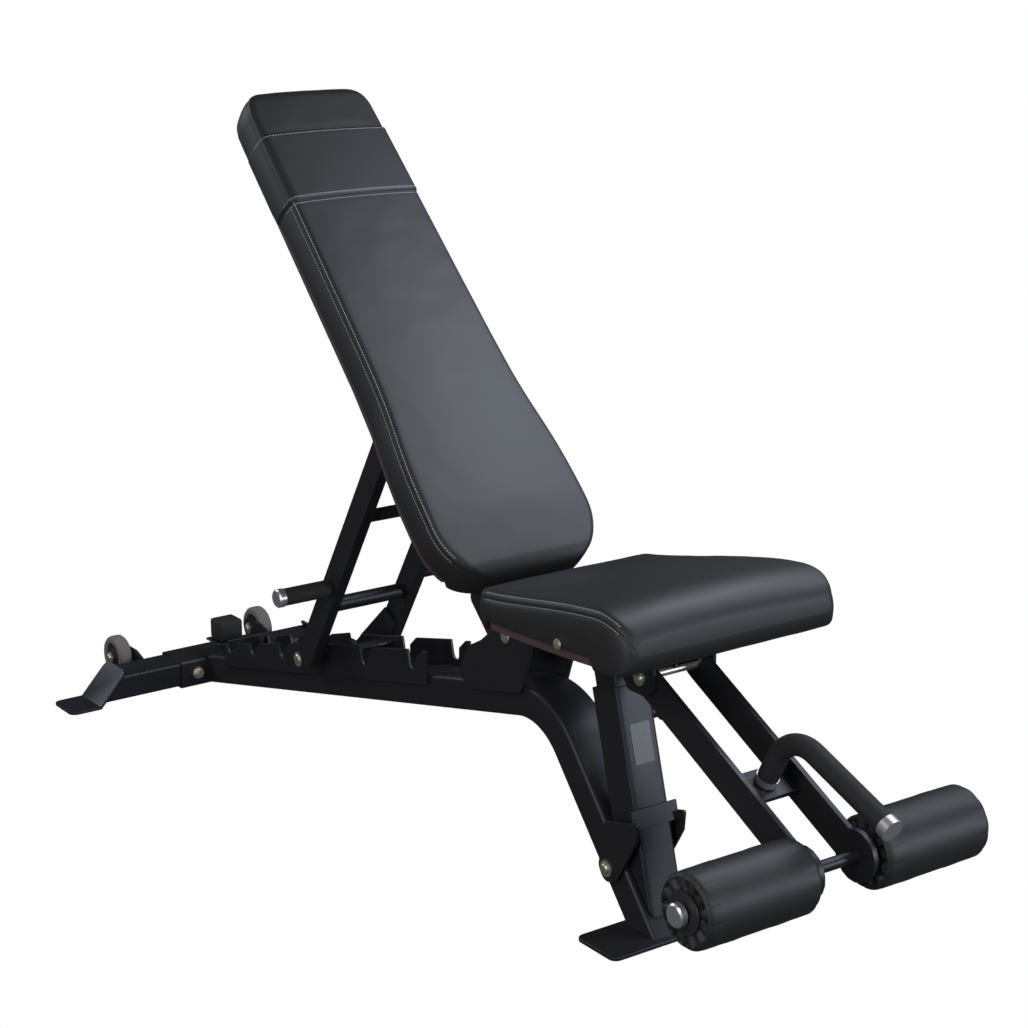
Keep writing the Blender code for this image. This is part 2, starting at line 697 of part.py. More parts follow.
def seat_bracket(side, sign):
    """The plate on each side of the seat's front that the leg hold-down arms bolt to."""
    ring = rounded([(0.512, 0.4315), (0.512, 0.392), (0.531, 0.366), (0.575, 0.366),
                    (0.584, 0.380), (0.584, 0.4393)],
                   [0.0, 0.010, 0.008, 0.012, 0.010, 0.0])
    inner = sign * (ARM_Y + ARM_T + GAP)
    rings = [ring, circle(ARM_TOP, 0.0063, 16)]
    return plate("seat_bracket_" + side, rings, inner, inner + sign * 0.005, cutter=True)


# ---------------------------------------------------------------- seat post
def post_point(down, forward=0.0):
    """A point on the post's axis, measured down from its top."""
    lean = Vector((math.sin(POST_LEAN), -math.cos(POST_LEAN)))
    out = Vector((math.cos(POST_LEAN), math.sin(POST_LEAN)))
    return Vector(POST_TOP) + lean * down + out * forward


def post():
    a = post_point(0)
    b = post_point(0.300)
    post_tube = tube("seat_post", POST_W, POST_W, (a.x, 0, a.y), (b.x, 0, b.y))
    # its foot is cut to sit just above the leg
    down = unit(LEG_SLOPE)
    out = Vector((-down.y, down.x))
    face = Vector(RAIL_CORNER) + out * (RAIL_D + 0.004) + Vector((0.0, 0.0))
    middle = face + down * 0.2 - out * 0.15
    cut = box("post_cut", (0.7, 0.2, 0.3), (middle.x, 0, middle.y), LEG_SLOPE, cutter=True)
    boolean(post_tube, cut)
    post_bracket()
    c = post_point(-0.044)
    d = post_point(0.160)
    tube("post_inner_tube", 0.050, 0.050, (c.x, 0, c.y), (d.x, 0, d.y), wall=0.0025)
    pop_pin()

def post_bracket():
    """A channel round the foot of the post: two cheeks, in two plates, on the pivot bolt."""
    web = post_point(0.186, POST_W / 2 + GAP + 0.002)
    width = RAIL_W + 0.003 + 0.002
    channel = box("post_bracket", (0.004, width, 0.028), (web.x, 0, web.y), POST_LEAN)
    for side, sign in (("right", -1), ("left", 1)):
        inner = sign * (RAIL_W / 2 + 0.0015)
        ring = rounded([(0.470, 0.150), (0.542, 0.169), (0.539, 0.138), (0.497, 0.066),
                        (0.470, 0.056), (0.456, 0.078)],
                       [0.003, 0.003, 0.010, 0.014, 0.016, 0.016])
        rings = [ring, circle(POST_BOLT, 0.0063, 16)]
        weld(channel, plate("post_cheek_" + side, rings, inner, inner + sign * 0.005, cutter=True))


def pop_pin():
    """A sprung plunger on the left of the post: threaded barrel, pin and round knob."""
    place = post_point(0.049)
    face = POST_W / 2 + GAP
    barrel = cross_rod("pop_pin_barrel", 0.0105, place, face, face + 0.026, finish="powder")
    cut = cross_rod("barrel_cut", 0.0053, place, face - 0.01, face + 0.05, sides=16, cutter=True)
    boolean(barrel, cut)
    bore = cross_rod("post_bore", 0.0053, place, 0.010, 0.040, sides=16, cutter=True)
    boolean(bpy.data.objects["seat_post"], bore)
    boolean(bpy.data.objects["post_inner_tube"], bore)
    plunger = cross_rod("pop_pin", 0.005, place, 0.0255, face + 0.0325, finish="rubber", sides=16)
    knob = cross_rod("pop_pin_knob", 0.0175, place, face + 0.0310, face + 0.0430, cutter=True)
    weld(plunger, knob)


# ---------------------------------------------------------------- leg hold-down
def hold_down():
    top = Vector(ARM_TOP)
    end = Vector(AXLE)
    along = (end - top).normalized()
    up = Vector((-along.y, along.x))
    heading = math.degrees(math.atan2(along.y, along.x))
    for side, sign in (("right", -1), ("left", 1)):
        ring = arc(top, 0.0235, heading + 90, heading + 270, 8)
        ring += arc(end, 0.036, heading - 139, heading + 139, 14)
        y = sign * ARM_Y
        plate("leg_arm_" + side, [ring, circle(top, 0.0063, 16), circle(end, AXLE_R + GAP, 16)],
              y, y + sign * ARM_T)
        roller(side, sign)
    bolt = ARM_Y + ARM_T + 0.005 + 2 * GAP
    headed("arm_bolt", 0.006, ARM_TOP, -bolt, bolt, (0.011, 0.006))
    # plate between the arms, with the hand grip standing on it
    middle = top + along * 0.2175
    width = 2 * ARM_Y - 2 * GAP
    box("arm_cross_plate", (0.050, width, 0.008), (middle.x, 0, middle.y - 0.002),
        math.atan2(along.y, along.x))
    base = middle + up * 0.0042
    hand_grip(base, up)
    cross_rod("roller_axle", AXLE_R, AXLE, -0.2448, 0.2448, finish="powder")


def roller(side, sign):
    a, b = ROLLER_Y
    pad = cross_rod("foam_roller_" + side, ROLLER_R, AXLE, sign * a, sign * b, finish="vinyl",
                    sides=40)
    bore = cross_rod("roller_bore_" + side, AXLE_R + GAP, AXLE, sign * 0.04, sign * 0.27,
                     cutter=True)
    boolean(pad, bore)
    edge = pad.modifiers.new("edges", "BEVEL")
    edge.width = 0.006
    edge.segments = 2
    edge.limit_method = "ANGLE"
    edge.angle_limit = math.radians(60)
    cap = sign * (0.2448 + GAP)
    cross_rod("roller_cap_" + side, 0.0155, AXLE, cap, cap + sign * 0.012, finish="aluminium")


def hand_grip(base, up):
    """A bent, foam-covered bar: up from the plate, over, and down towards the rollers."""
    radius = 0.055
    heading = math.radians(-21.5)
    ahead = unit(heading)
    turn = math.atan2(up.y, up.x) - heading
    corner = base + up * 0.096
    reach = radius * math.tan(turn / 2)
    bend_start = corner - up * reach
    centre = bend_start + Vector((up.y, -up.x)) * radius
    first = math.degrees(math.atan2(*(bend_start - centre).yx))
    bend = arc(centre, radius, first, first - math.degrees(turn), 9)
    end = corner + ahead * 0.186
    points = [tuple(base)] + [tuple(base + up * 0.02)] + bend + [tuple(end)]
    curve = bpy.data.curves.new("hand_grip", "CURVE")
    curve.dimensions = "3D"
    curve.bevel_depth = 0.0147
    curve.bevel_resolution = 3
    curve.use_fill_caps = True
    spline = curve.splines.new("POLY")
    spline.points.add(len(points) - 1)
    for point, (x, z) in zip(spline.points, points):
        point.co = (x + SHIFT_X, 0, z, 1)
    bar = bpy.data.objects.new("hand_grip", curve)
    bpy.context.scene.collection.objects.link(bar)
    put(bar, "rubber")
    a = end + ahead * GAP
    b = a + ahead * 0.014
    rod("hand_grip_cap", 0.0155, (a.x, 0, a.y), (b.x, 0, b.y), finish="aluminium")


def pivots():
    """The main axle that the back turns on, and the bolts of the seat and the post."""
    half = RAIL_W / 2 + 0.006 + GAP
    cross_rod("main_axle", 0.010, PIVOT, -half - 0.002, half + 0.002, finish="zinc")
    cross_rod("seat_pivot_bolt", 0.006, SEAT_PIVOT, -half - 0.004, half + 0.004, finish="zinc",
              sides=16)
    rail = bpy.data.objects["main_rail"]
    bore = cross_rod("rail_bore", 0.0063, POST_BOLT, -0.06, 0.06, sides=16, cutter=True)
    boolean(rail, bore)
    edge = RAIL_W / 2 + 0.0015 + 0.005 + GAP
    headed("post_bolt", 0.006, POST_BOLT, -edge, edge, (0.0125, 0.006))


clear()
BENCH = collection("weight_bench")
CUTTERS = collection("cutters")
base_frame()
back_rest()
strut()
seat()
post()
hold_down()
pivots()
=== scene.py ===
"""Adjustable weight bench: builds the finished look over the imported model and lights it."""

import json
import math

import bmesh
import bpy
from mathutils import Matrix, Vector, noise


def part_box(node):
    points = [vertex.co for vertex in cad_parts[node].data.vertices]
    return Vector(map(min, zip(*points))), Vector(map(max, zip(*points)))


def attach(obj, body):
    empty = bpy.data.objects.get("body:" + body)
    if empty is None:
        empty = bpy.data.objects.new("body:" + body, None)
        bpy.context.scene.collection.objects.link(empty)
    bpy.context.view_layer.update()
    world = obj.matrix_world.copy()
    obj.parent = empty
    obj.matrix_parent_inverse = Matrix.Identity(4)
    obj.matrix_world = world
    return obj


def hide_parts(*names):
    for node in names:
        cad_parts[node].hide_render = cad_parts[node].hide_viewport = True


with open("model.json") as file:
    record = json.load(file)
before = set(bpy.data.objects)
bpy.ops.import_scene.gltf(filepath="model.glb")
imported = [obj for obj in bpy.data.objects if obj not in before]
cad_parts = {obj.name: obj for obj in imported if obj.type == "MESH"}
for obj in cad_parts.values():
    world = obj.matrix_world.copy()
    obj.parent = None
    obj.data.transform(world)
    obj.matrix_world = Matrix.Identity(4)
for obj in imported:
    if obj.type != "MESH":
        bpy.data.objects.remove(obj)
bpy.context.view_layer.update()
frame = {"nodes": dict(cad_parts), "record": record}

bl_info = {
    "name": "Weight bench",
    "version": (1, 0, 0),
    "blender": (4, 5, 0),
    "location": "View3D > Sidebar > Bench",
    "description": "Builds an adjustable weight bench piece by piece",
    "category": "Object",
}

JOINTS = {joint["name"]: joint for joint in frame["record"]["behaviour"]["joints"]}
PIVOT = Vector(JOINTS["back_raise"]["pos_m"])
AXLE = Vector(JOINTS["roller_left_spin"]["pos_m"])
WHEEL = Vector(JOINTS["wheel_left_spin"]["pos_m"])
BODY_OF = {n: body for body, names in frame["record"]["behaviour"]["bodies"].items() for n in names}

# the back rest's own plane: s runs up the pad, n out of its face
UP = Vector((-1, 0, 1)).normalized()
OUT = Vector((1, 0, 1)).normalized()
SHIFT = Vector((PIVOT.x - 0.230, 0, 0))

# the rail's slope, the front leg's fall, the corner where they meet, and the front post
RAIL_SLOPE = math.radians(13.47)
LEG_FALL = math.radians(-49.85)
RAIL_CORNER = SHIFT + Vector((0.3045, 0, 0.2499))
POST_LEAN = math.radians(15.5)
POST_TOP = SHIFT + Vector((0.4446, 0, 0.337))


# ---------------------------------------------------------------- settings
class BenchSettings(bpy.types.PropertyGroup):
    """What can be changed about the finished look."""

    crown: bpy.props.FloatProperty(
        name="Crown", description="How far a pad's face rises in its middle", default=0.0045,
        min=0.0, max=0.01, unit="LENGTH", subtype="DISTANCE",
    )
    stitch: bpy.props.FloatProperty(
        name="Stitch pitch", description="From one stitch to the next", default=0.0048,
        min=0.003, max=0.01, unit="LENGTH", subtype="DISTANCE",
    )
    pleats: bpy.props.IntProperty(
        name="Pleats", description="Gathers round the end of a roller", default=12, min=6, max=24,
    )
    edge: bpy.props.FloatProperty(
        name="Edge", description="Rounding of cut plate edges", default=0.0012, min=0.0,
        max=0.003, unit="LENGTH", subtype="DISTANCE",
    )
    grain: bpy.props.FloatProperty(
        name="Grain", description="Depth of the vinyl's grain", default=0.35, min=0.0, max=1.0,
        subtype="FACTOR",
    )


def settings():
    return bpy.context.scene.bench


# ---------------------------------------------------------------- materials
class Sock:
    """A shader socket that can be added to, taken from and multiplied like a number."""

    def __init__(self, tree, socket):
        self.tree = tree
        self.socket = socket

    def maths(self, operation, other=None, clamp=False, swap=False):
        node = self.tree.nodes.new("ShaderNodeMath")
        node.operation = operation
        node.use_clamp = clamp
        order = (1, 0) if swap else (0, 1)
        self.tree.links.new(self.socket, node.inputs[order[0]])
        if isinstance(other, Sock):
            self.tree.links.new(other.socket, node.inputs[order[1]])
        elif other is not None:
            node.inputs[order[1]].default_value = other
        return Sock(self.tree, node.outputs[0])

    def __add__(self, other):
        return self.maths("ADD", other)

    __radd__ = __add__

    def __mul__(self, other):
        return self.maths("MULTIPLY", other)

    __rmul__ = __mul__

    def __sub__(self, other):
        return self.maths("SUBTRACT", other)

    def __rsub__(self, other):
        return self.maths("SUBTRACT", other, swap=True)

    def __pow__(self, other):
        return self.maths("POWER", other)


class Shader:
    """One Principled material under construction."""

    def __init__(self, name, colour, roughness, metallic=0.0):
        self.material = bpy.data.materials.new(name)
        self.material.use_nodes = True
        self.tree = self.material.node_tree
        self.base = self.tree.nodes["Principled BSDF"]
        self.base.inputs["Base Color"].default_value = (*colour, 1)
        self.base.inputs["Roughness"].default_value = roughness
        self.base.inputs["Metallic"].default_value = metallic
        self.place = self.node("ShaderNodeTexCoord", out="Object")

    def node(self, kind, out=0, settings=None, **inputs):
        """Adds any node, sets its inputs by name and gives one output."""
        made = self.tree.nodes.new(kind)
        for name, value in (settings or {}).items():
            setattr(made, name, value)
        for name, value in inputs.items():
            target = made.inputs[name.replace("_", " ")]
            if isinstance(value, Sock):
                self.tree.links.new(value.socket, target)
            else:
                target.default_value = value
        return Sock(self.tree, made.outputs[out])

    def noise(self, scale, detail=2.0, rough=0.5):
        return self.node("ShaderNodeTexNoise", Vector=self.place, Scale=scale, Detail=detail,
                         Roughness=rough)

    def cells(self, scale, feature="F1"):
        out = "Distance"
        return self.node("ShaderNodeTexVoronoi", out, {"feature": feature}, Vector=self.place,
                         Scale=scale)

    def colour(self, mix, a, b):
        ramp = self.tree.nodes.new("ShaderNodeMix")
        ramp.data_type = "RGBA"
        self.tree.links.new(mix.socket, ramp.inputs[0])
        ramp.inputs[6].default_value = (*a, 1)
        ramp.inputs[7].default_value = (*b, 1)
        self.tree.links.new(ramp.outputs[2], self.base.inputs["Base Color"])

    def rough(self, value):
        self.tree.links.new(value.socket, self.base.inputs["Roughness"])

    def bump(self, height, strength, distance):
        node = self.node("ShaderNodeBump", "Normal", Height=height, Strength=strength,
                         Distance=distance)
        self.tree.links.new(node.socket, self.base.inputs["Normal"])


def make_materials():
    powder = Shader("powder_coat", (0.012, 0.012, 0.013), 0.5)
    speck = powder.noise(900, 3)
    powder.bump(0.5 * speck + 0.6 * powder.noise(340, 2), 0.15, 0.0005)
    powder.rough(0.36 + 0.16 * powder.noise(14, 4))
    powder.colour(powder.noise(5, 3), (0.050, 0.050, 0.056), (0.074, 0.074, 0.083))

    vinyl = Shader("vinyl", (0.012, 0.012, 0.014), 0.42)
    pores = vinyl.cells(620, "DISTANCE_TO_EDGE").maths("MINIMUM", 0.22)
    crease = (vinyl.noise(26, 6, 0.62) ** 2.0) * 0.9
    mottle = vinyl.noise(230, 3) * 0.30
    vinyl.bump(pores * (0.65 * settings().grain) + crease + mottle, 0.36, 0.0009)
    vinyl.rough(0.22 + 0.20 * vinyl.noise(11, 4))
    vinyl.colour(vinyl.noise(4, 3), (0.0045, 0.0045, 0.0062), (0.0085, 0.0085, 0.0110))

    board = Shader("board", (0.06, 0.035, 0.04), 0.7)
    board.colour(board.noise(60, 5), (0.040, 0.022, 0.028), (0.085, 0.050, 0.055))
    board.bump(board.noise(500, 3), 0.2, 0.0004)

    foam = Shader("foam_grip", (0.014, 0.014, 0.015), 0.78)
    foam.bump(foam.noise(1100, 2) + 0.5 * foam.cells(700), 0.35, 0.0005)
    foam.rough(0.70 + 0.14 * foam.noise(30, 3))

    tyre = Shader("tyre", (0.16, 0.145, 0.135), 0.62)
    tyre.colour(tyre.noise(40, 4), (0.017, 0.015, 0.014), (0.030, 0.027, 0.025))
    tyre.bump(tyre.noise(700, 2), 0.2, 0.0004)

    hub = Shader("hub", (0.02, 0.02, 0.021), 0.5)
    hub.rough(0.42 + 0.15 * hub.noise(60, 3))

    zinc = Shader("zinc", (0.66, 0.60, 0.48), 0.3, 1.0)
    zinc.colour(zinc.noise(70, 4), (0.60, 0.53, 0.40), (0.74, 0.70, 0.60))
    zinc.rough(0.24 + 0.18 * zinc.noise(220, 3))

    alu = Shader("aluminium", (0.80, 0.80, 0.81), 0.3, 1.0)
    alu.rough(0.24 + 0.14 * alu.noise(160, 3))
    alu.bump(alu.noise(1200, 1), 0.08, 0.0003)

    thread = Shader("thread", (0.42, 0.42, 0.44), 0.75)
    thread.rough(0.66 + 0.15 * thread.noise(900, 1))

    label = Shader("label", (0.10, 0.10, 0.105), 0.4)
    label.colour(label.noise(300, 2), (0.035, 0.035, 0.038), (0.055, 0.055, 0.058))
    for made in (powder, vinyl, board, foam, tyre, hub, zinc, alu, thread, label):
        made.material.use_fake_user = True


def mat(name):
    return bpy.data.materials[name]


# ---------------------------------------------------------------- mesh helpers
def finish_mesh(name, form, material, sharp=40):
    bmesh.ops.recalc_face_normals(form, faces=form.faces)
    mesh = bpy.data.meshes.new(name)
    form.to_mesh(mesh)
    form.free()
    mesh.shade_smooth()
    mesh.set_sharp_from_angle(angle=math.radians(sharp))
    obj = bpy.data.objects.new(name, mesh)
    bpy.context.scene.collection.objects.link(obj)
    for one in (material if isinstance(material, list) else [material]):
        mesh.materials.append(mat(one))
    return obj


def settle(obj, body, slot, *nodes):
    """Gives the finished piece its body and hides the CAD nodes it stands for; slot is not used."""
    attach(obj, body)
    if nodes:
        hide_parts(*nodes)
    return obj


def corners(node):
    """The lowest and highest corner of a CAD node's box."""
    low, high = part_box(node)
    return Vector(low), Vector(high)


def apply_modifiers(obj):
    graph = bpy.context.evaluated_depsgraph_get()
    mesh = bpy.data.meshes.new_from_object(obj.evaluated_get(graph))
    obj.modifiers.clear()
    obj.data = mesh
    return obj


def refine(node, material, slot, width=None, segments=2, corner=0.0):
    """A copy of a CAD node with its flat faces joined up again and its edges rounded."""
    source = frame["nodes"][node]
    form = bmesh.new()
    form.from_mesh(source.data)
    form.transform(source.matrix_world)
    bmesh.ops.remove_doubles(form, verts=form.verts, dist=2e-5)
    bmesh.ops.dissolve_limit(form, angle_limit=math.radians(0.6), verts=form.verts,
                             edges=form.edges)
    if corner:
        ends = [e for e in form.edges if e.calc_length() < 0.0075
                and len(e.link_faces) == 2 and e.calc_face_angle(0) > 1.2
                and abs((e.verts[0].co - e.verts[1].co).normalized().x) < 0.5]
        bmesh.ops.bevel(form, geom=ends, offset=corner, segments=6, profile=0.5,
                        affect="EDGES", clamp_overlap=True)
    obj = finish_mesh(node + "_finish", form, material, 30)
    bevel = obj.modifiers.new("edges", "BEVEL")
    bevel.width = settings().edge if width is None else width
    bevel.segments = segments
    bevel.limit_method = "ANGLE"
    bevel.angle_limit = math.radians(35)
    bevel.harden_normals = True
    apply_modifiers(obj)
    return settle(obj, BODY_OF[node], slot, node)


def lathe(name, place, profile, material, sides=64, wave=None):
    """Turns (y, radius) points about the cross axis through place; wave moves a point along y."""
    form = bmesh.new()
    rings = []
    for y, radius in profile:
        if radius < 1e-6:
            rings.append([form.verts.new((place.x, y, place.z))])
            continue
        ring = []
        for k in range(sides):
            a = 2 * math.pi * k / sides
            r, dy = (radius, 0.0) if wave is None else wave(radius, a, y)
            ring.append(form.verts.new((place.x + r * math.cos(a), y + dy,
                                        place.z + r * math.sin(a))))
        rings.append(ring)
    for one, two in zip(rings, rings[1:]):
        for k in range(sides):
            j = (k + 1) % sides
            if len(one) == 1 and len(two) == 1:
                continue
            if len(one) == 1:
                form.faces.new((one[0], two[k], two[j]))
            elif len(two) == 1:
                form.faces.new((one[k], two[0], one[j]))
            else:
                form.faces.new((one[k], two[k], two[j], one[j]))
    return finish_mesh(name, form, material, 35)


def stub(y0, y1, radius, edge=0.0008):
    """The (y, radius) profile of a plain cylinder with eased edges."""
    way = 1 if y1 > y0 else -1
    return [(y0, 0), (y0, radius - edge), (y0 + way * edge, radius), (y1 - way * edge, radius),
            (y1, radius - edge), (y1, 0)]


def round_node(node, material, slot, edge=0.0008, sides=48):
    """Turns a plain cylindrical CAD node again, smoothly."""
    low, high = corners(node)
    place = (low + high) / 2
    radius = (high.x - low.x) / 2
    obj = lathe(node + "_finish", place, stub(low.y, high.y, radius, edge), material, sides)
    return settle(obj, BODY_OF[node], slot, node)


def bolt_node(node, shank, head, ends=(True, True)):
    """A bolt with a washer and a domed head at either end of its CAD node."""
    low, high = corners(node)
    place = (low + high) / 2
    radius = (high.x - low.x) / 2
    start = [(low.y, 0), (low.y, radius * 0.45), (low.y + head * 0.30, radius * 0.62),
             (low.y + head * 0.62, radius * 0.68), (low.y + head * 0.64, radius),
             (low.y + head, radius), (low.y + head, shank)]
    stop = [(high.y - (y - low.y), r) for y, r in reversed(start)]
    profile = (start if ends[0] else [(low.y, 0), (low.y, shank)])
    profile = profile + (stop if ends[1] else [(high.y, shank), (high.y, 0)])
    obj = lathe(node + "_finish", place, profile, "zinc", 40)
    return settle(obj, BODY_OF[node], "zinc", node)


def round_rect(width, depth, radius, steps=5):
    """A rounded rectangle's outline as (across, deep) pairs."""
    out = []
    for cx, cy, a in ((1, 1, 0), (-1, 1, 90), (-1, -1, 180), (1, -1, 270)):
        for k in range(steps + 1):
            t = math.radians(a + 90 * k / steps)
            out.append((cx * (width / 2 - radius) + radius * math.cos(t),
                        cy * (depth / 2 - radius) + radius * math.sin(t)))
    return out


def sweep(name, path, outline, material, across=Vector((0, 1, 0)), planes=()):
    """Carries an outline along a path of points; planes are (point, normal) cuts that cap it."""
    form = bmesh.new()
    rings = []
    for i, point in enumerate(path):
        ahead = path[min(i + 1, len(path) - 1)] - path[max(i - 1, 0)]
        other = ahead.normalized().cross(across).normalized()
        rings.append([form.verts.new(point + across * a + other * b) for a, b in outline])
    for one, two in zip(rings, rings[1:]):
        for k in range(len(outline)):
            j = (k + 1) % len(outline)
            form.faces.new((one[k], two[k], two[j], one[j]))
    form.faces.new(rings[0])
    form.faces.new(rings[-1])
    for point, normal in planes:
        geometry = form.verts[:] + form.edges[:] + form.faces[:]
        cut = bmesh.ops.bisect_plane(form, geom=geometry, plane_co=point, plane_no=normal,
                                     clear_outer=True)
        rim = [e for e in cut["geom_cut"] if isinstance(e, bmesh.types.BMEdge)]
        bmesh.ops.edgeloop_fill(form, edges=rim)
    return finish_mesh(name, form, material, 30)


# ---------------------------------------------------------------- padding
def smooth(a, b, x):
    t = max(0.0, min(1.0, (x - a) / (b - a)))
    return t * t * (3 - 2 * t)


def section(half, low, high, crown, grow=0.0, open_below=False):
    """One cross-section of a pad as (y, n): flat or crowned face, rounded edges, seam grooves."""
    thick = high - low
    rt = min(0.0115, thick * 0.46)
    rb = min(0.0060, thick * 0.46)
    side = []
    if not open_below:
        side += [(half * k / 8 * 0.94, low) for k in range(8)]
    for k in range(5):
        a = math.radians(-90 + 22.5 * k)
        side.append((half - rb + rb * math.cos(a), low + rb + rb * math.sin(a)))
    wall_low, wall_high = low + rb, high - rt
    for share in (0.15, 0.35, 0.55, 0.75, 0.88):
        n = wall_low + (wall_high - wall_low) * share
        side.append((half + 0.0022 * math.sin(math.pi * share) * min(1, thick / 0.05), n))
    depth = 0.0011 * min(1.0, thick / 0.05)
    for off, sink in ((-0.0022, 0.25), (-0.0011, 0.8), (0, 1.0)):
        side.append((half - sink * depth, wall_high + off * min(1.0, thick / 0.05)))
    for k in range(1, 11):
        a = math.radians(9 * k)
        sink = max(0.0, 0.8 - 0.35 * (k - 1)) * depth
        side.append((half - rt + (rt - sink) * math.cos(a), high - rt + (rt - sink) * math.sin(a)))
    inner = half - rt
    side += [(inner * (1 - k / 14), high) for k in range(1, 14)]
    out = []
    for y, n in side:
        rise = crown * (1 - min(1.0, abs(y) / half) ** 2.2) if n > high - rt * 0.5 else 0.0
        out.append((y, n + rise))
    out.append((0.0, high + crown))
    out = out + [(-y, n) for y, n in reversed(out[:-1])]
    if not open_below:
        out.pop()
    if not grow:
        return out
    grown = []
    count = len(out)
    for i, (y, n) in enumerate(out):
        before = out[i - 1] if (i or not open_below) else out[0]
        after = out[(i + 1) % count] if (i + 1 < count or not open_below) else out[-1]
        t = Vector((after[0] - before[0], after[1] - before[1])).normalized()
        grown.append((y + grow * t.y, n - grow * t.x))
    return grown


def stations(low, high, radius, count):
    """Places along a pad, close together where its ends curve."""
    ends = [radius * (1 - math.cos(math.pi / 2 * k / 12)) for k in range(13)]
    middle = [low + radius + (high - low - 2 * radius) * k / count for k in range(1, count)]
    return [low + e for e in ends] + middle + [high - e for e in reversed(ends)]


def loft(name, places, shape, to_world, material, wrinkle=0.0006):
    """Skins the cross-sections given by shape(s) and closes both ends."""
    form = bmesh.new()
    rings = []
    for s in places:
        ring = []
        for y, n in shape(s):
            point = to_world(s, y, n)
            puff = noise.noise(point * 21) * wrinkle + noise.noise(point * 55) * wrinkle * 0.4
            ring.append(form.verts.new(to_world(s, y, n + puff)))
        rings.append(ring)
    for one, two in zip(rings, rings[1:]):
        for k in range(len(one)):
            j = (k + 1) % len(one)
            form.faces.new((one[k], two[k], two[j], one[j]))
    form.faces.new(rings[0])
    form.faces.new(rings[-1])
    bmesh.ops.triangulate(form, faces=[f for f in form.faces if len(f.verts) > 4])
    return finish_mesh(name, form, material, 60)


def corner_bite(depth, radius):
    """How far a round corner draws a side in, at a depth past where the corner starts."""
    return radius - math.sqrt(max(0.0, radius**2 - depth**2))


def end_round(s, low, high, radius):
    """How far a bullnose end draws the faces together, from 0 at the tip to 1."""
    d = min(s - low, high - s)
    if d >= radius:
        return 1.0
    return math.sqrt(max(0.0, 1 - ((radius - d) / radius) ** 2))


def back_world(s, y, n):
    return SHIFT + UP * s + OUT * n + Vector((0, y, 0))


BACK_S = (0.145, 1.058)
BACK_N = (0.4342, 0.5056)
BAND_S = (0.832, 0.962)
BACK_LOW_CORNER = 0.098
BACK_HIGH_CORNER = 0.052
BACK_END = 0.031


def back_half_width(s):
    t = (s - BACK_S[0]) / (BACK_S[1] - BACK_S[0])
    flare = 0.0220 / (1 + math.exp((t - 0.28) / 0.045))
    taper = 0.1210 - 0.0090 * max(0.0, (t - 0.42) / 0.58)
    past_low = max(0.0, BACK_LOW_CORNER - (s - BACK_S[0]))
    past_high = max(0.0, BACK_HIGH_CORNER - (BACK_S[1] - s))
    bite = corner_bite(past_low, BACK_LOW_CORNER)
    bite += corner_bite(past_high, BACK_HIGH_CORNER)
    return taper + flare - bite * 0.93


def back_shape(s, grow=0.0, open_below=False):
    low, high = BACK_N
    near_end = min(s - BACK_S[0], BACK_S[1] - s)
    floor = low + 0.0118 * smooth(0.030, 0.040, near_end) * (1 - smooth(0.80, 0.86, s))
    floor += 0.0065 * smooth(0.80, 0.86, s)
    low += 0.0065 * smooth(0.80, 0.86, s)
    high -= 0.0045 * (1 - smooth(0.0, 0.13, s - BACK_S[0]))
    share = max(0.06, end_round(s, *BACK_S, BACK_END))
    middle = (low + high) / 2
    bottom = max(floor, middle - (middle - low) * share)
    top = middle + (high - middle) * share
    groove = sum(math.exp(-(((s - e) / 0.004) ** 2)) for e in BAND_S)
    crown = settings().crown * share * smooth(-0.02, 0.14, s - BACK_S[0]) - 0.001 * groove
    return section(back_half_width(s), bottom, top, crown, grow, open_below)


def seat_world(u, y, w):
    c, k = math.cos(math.radians(6)), math.sin(math.radians(6))
    return SHIFT + Vector((0.304 + u * c - w * k, y, 0.413 + u * k + w * c))


SEAT_U = (0.0, 0.389)
SEAT_REAR_CORNER = 0.032
SEAT_FRONT_CORNER = 0.040
SEAT_REAR_ROUND = 0.0265
SEAT_ROLL = 0.066
SEAT_LIP = 0.030


def seat_shape(u):
    t = u / SEAT_U[1]
    wide = 0.148 + 0.035 * math.sin(math.pi / 2 * min(1, t * 1.08))
    d = SEAT_U[1] - u
    bite = corner_bite(max(0.0, SEAT_REAR_CORNER - u), SEAT_REAR_CORNER)
    bite += corner_bite(max(0.0, SEAT_FRONT_CORNER - d), SEAT_FRONT_CORNER) * 0.6
    high = 0.0570 + 0.0230 * smooth(0.0, 0.32, u)
    low = 0.0120 * smooth(0.028, 0.034, u) - 0.0160 * smooth(0.304, 0.314, u)
    if u < SEAT_REAR_ROUND:
        share = math.sqrt(max(0.004, 1 - ((SEAT_REAR_ROUND - u) / SEAT_REAR_ROUND) ** 2))
        middle = 0.0310
        high, low = middle + (high - middle) * share, middle + (low - middle) * share
    if d < SEAT_ROLL:
        drop = 1 - math.sqrt(max(0.0, 1 - ((SEAT_ROLL - d) / SEAT_ROLL) ** 2))
        high -= 0.046 * drop
    if d < SEAT_LIP:
        lift = 1 - math.sqrt(max(0.0, 1 - ((SEAT_LIP - d) / SEAT_LIP) ** 2))
        low += 0.034 * lift
    crown = settings().crown * (0.2 + 1.4 * smooth(0.02, 0.16, u))
    return section(wide - bite * 0.8, low, high, crown)


